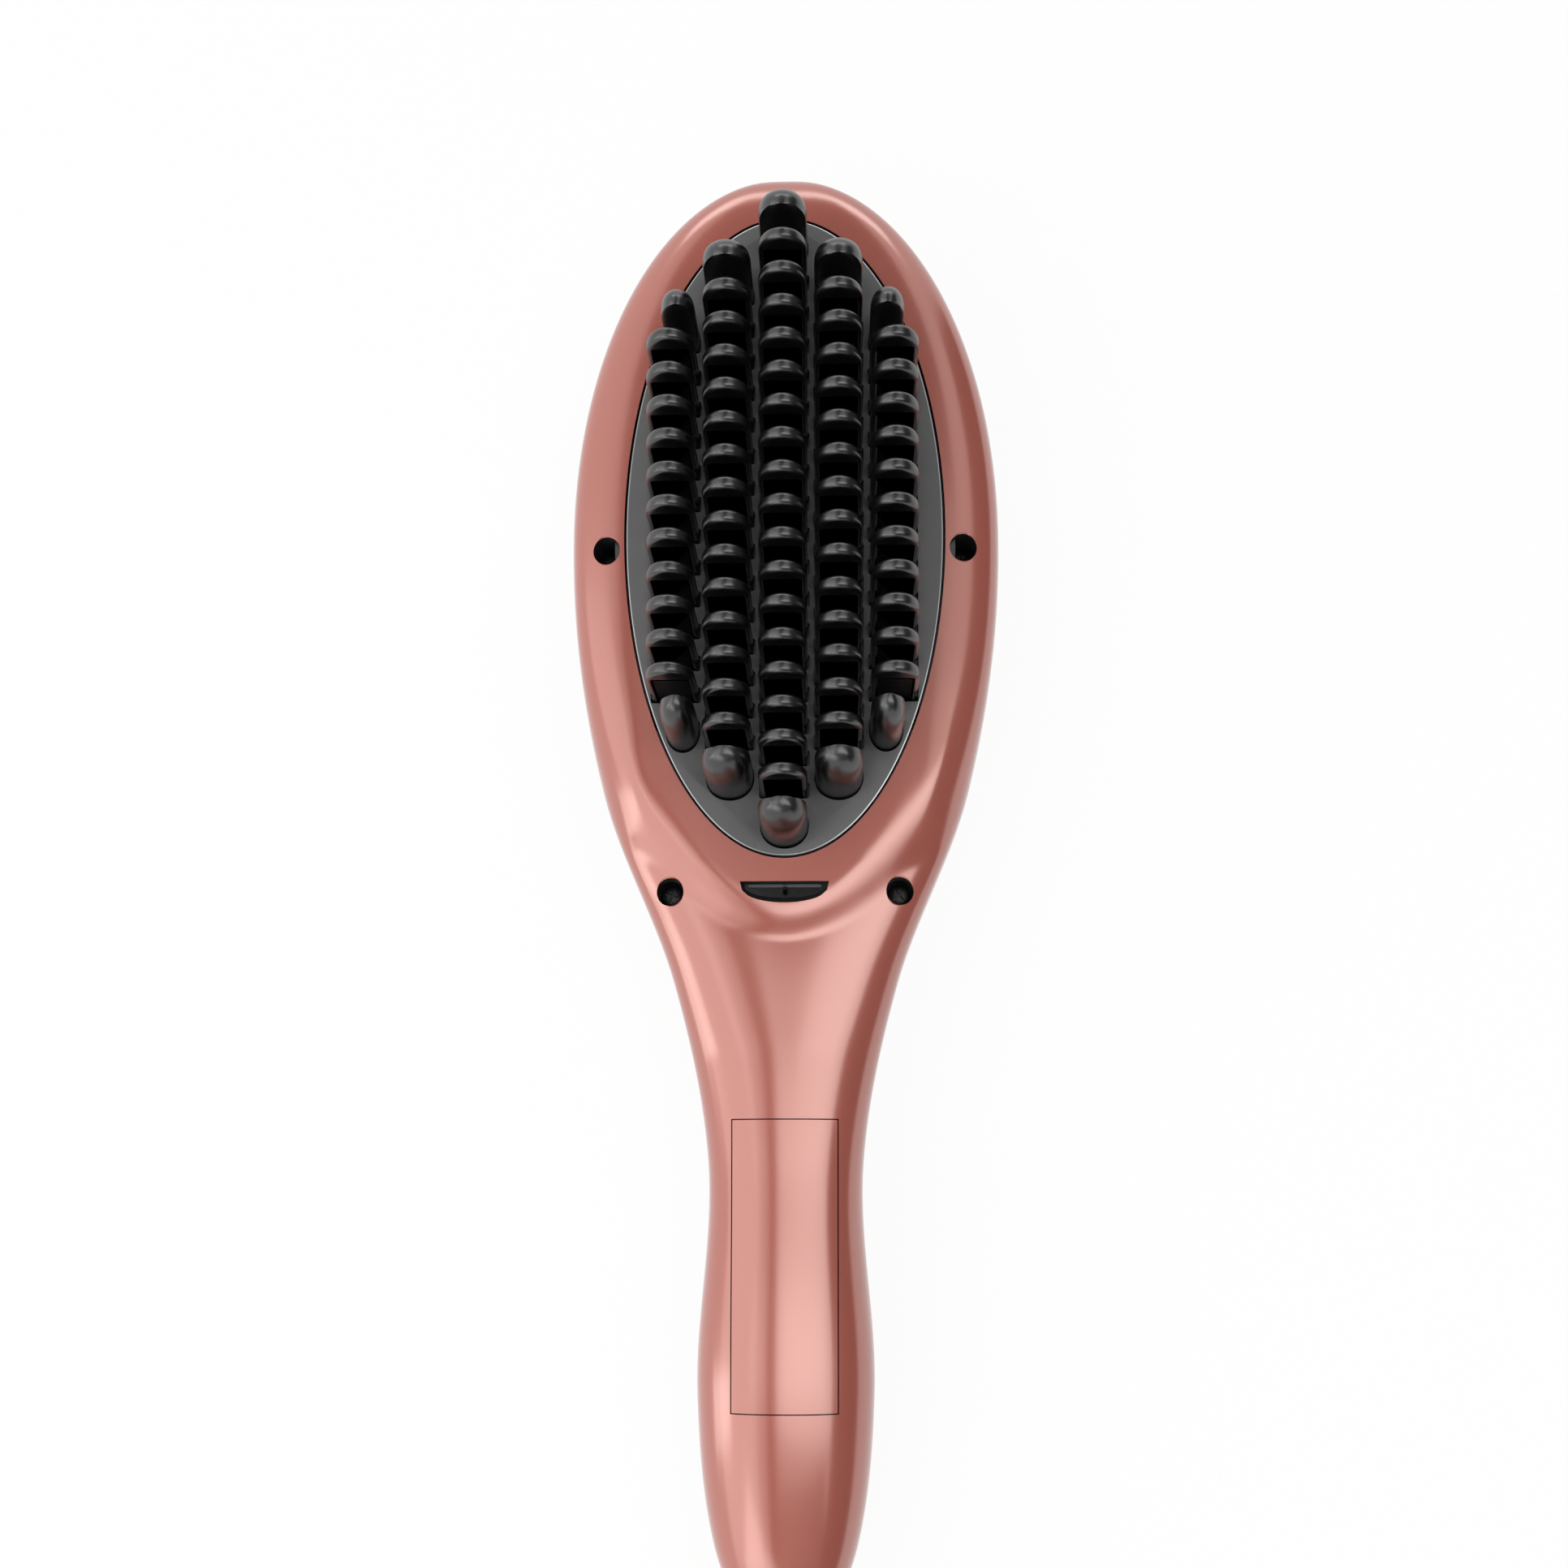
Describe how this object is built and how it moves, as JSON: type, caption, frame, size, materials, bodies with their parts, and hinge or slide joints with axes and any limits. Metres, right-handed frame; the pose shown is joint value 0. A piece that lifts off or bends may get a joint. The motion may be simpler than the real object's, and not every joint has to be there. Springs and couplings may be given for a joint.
{
  "type": "hair straightening brush",
  "caption": "Heated hair straightening brush with rows of arched comb teeth on an oval plate, a round handle, back buttons and a swivelling cord collar.",
  "frame": {"origin": "centre of the bounding box from above, on the plane that the brush's back rests on", "axes": "+X across the head, +Y along the brush from the cord collar to the head's tip, +Z from the back to the tips of the teeth"},
  "size_m": [0.0738, 0.2595, 0.042],
  "materials": {
    "rose_paint": "satin metallic rose paint on moulded plastic",
    "plate_grey": "smooth grey heat-resistant plastic",
    "teeth_black": "polished black",
    "gloss_black": "polished black",
    "heater_black": "black coated casting",
    "ceramic": "fired ceramic, matte",
    "steel": "plated steel",
    "insulation": "moulded heat-resistant plastic, matte",
    "silicone": "moulded silicone",
    "circuit_board": "glass-fibre laminate with green lacquer",
    "smoked_lens": "polished dark smoked plastic",
    "wire_red": "insulated wire, red",
    "wire_dark": "insulated wire, dark"
  },
  "bodies": {
    "brush_body": {"front_housing": "rose_paint", "rear_housing": "rose_paint", "handle_panel": "rose_paint", "bristle_plate": "plate_grey", "comb_row_1": "teeth_black", "comb_row_2": "teeth_black", "comb_row_3": "teeth_black", "comb_row_4": "teeth_black", "comb_row_5": "teeth_black", "heater_plate": "heater_black", "heating_element": "ceramic", "heater_clamp": "steel", "clamp_screw_1": "steel", "clamp_screw_2": "steel", "insulating_frame": "insulation", "plate_seal": "silicone", "thermistor": "ceramic", "thermal_fuse": "steel", "ion_outlet": "gloss_black", "ion_emitter": "steel", "ion_generator": "insulation", "ion_lead": "wire_dark", "heater_lead_1": "wire_red", "heater_lead_2": "wire_dark", "control_board": "circuit_board", "display_module": "insulation", "display_lens": "smoked_lens", "power_switch": "steel", "plus_switch": "steel", "minus_switch": "steel", "head_screw_1": "steel", "head_screw_2": "steel", "head_screw_3": "steel", "head_screw_4": "steel", "head_screw_5": "steel", "handle_screw_1": "steel", "handle_screw_2": "steel", "swivel_retainer": "insulation"},
    "power_button": {"power_button": "gloss_black"},
    "plus_button": {"plus_button": "gloss_black"},
    "minus_button": {"minus_button": "gloss_black"},
    "cord_collar": {"cord_collar": "gloss_black"}
  },
  "joints": [
    {"name": "power_press", "type": "slide", "parent": "brush_body", "child": "power_button", "axis": [0, 0, 1], "range_m": [0, 0.0005], "stiffness_N_per_m": 1000, "springref_m": -0.0006},
    {"name": "plus_press", "type": "slide", "parent": "brush_body", "child": "plus_button", "axis": [0, 0, 1], "range_m": [0, 0.0005], "stiffness_N_per_m": 1000, "springref_m": -0.0006},
    {"name": "minus_press", "type": "slide", "parent": "brush_body", "child": "minus_button", "axis": [0, 0, 1], "range_m": [0, 0.0005], "stiffness_N_per_m": 1000, "springref_m": -0.0006},
    {"name": "collar_swivel", "type": "hinge", "parent": "brush_body", "child": "cord_collar", "pos_m": [0, -0.12, 0.0145], "axis": [0, 1, 0], "continuous": true}
  ]
}
